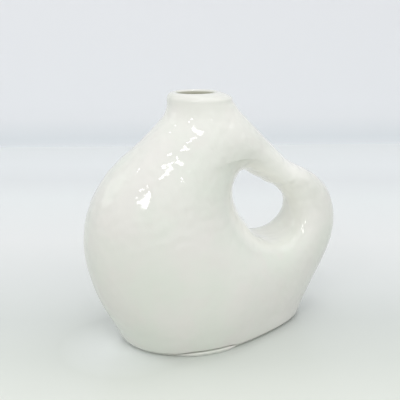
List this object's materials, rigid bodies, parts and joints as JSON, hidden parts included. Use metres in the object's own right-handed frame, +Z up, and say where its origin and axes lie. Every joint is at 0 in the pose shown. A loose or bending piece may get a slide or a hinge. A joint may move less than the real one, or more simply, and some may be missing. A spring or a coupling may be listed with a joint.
{
  "type": "pillow vase",
  "caption": "Hollow pillow-shaped ceramic vase with a round-lipped neck and a loop hole framed by a thick hollow arm, on a flat foot.",
  "frame": {"origin": "on the ground under the neck's axis, on the underside of the foot slab", "axes": "+Z up along the neck, +X towards the side of the loop, -Y the front face, +Y the back"},
  "size_m": [0.2029, 0.1046, 0.18],
  "materials": {
    "white_glaze": "glossy off-white glaze",
    "foot_glaze": "glossy off-white glaze on the edge, bare fired clay underneath"
  },
  "bodies": {
    "root": {"front_shell": "white_glaze", "back_shell": "white_glaze", "neck_collar": "white_glaze", "foot_slab": "foot_glaze"}
  },
  "joints": []
}
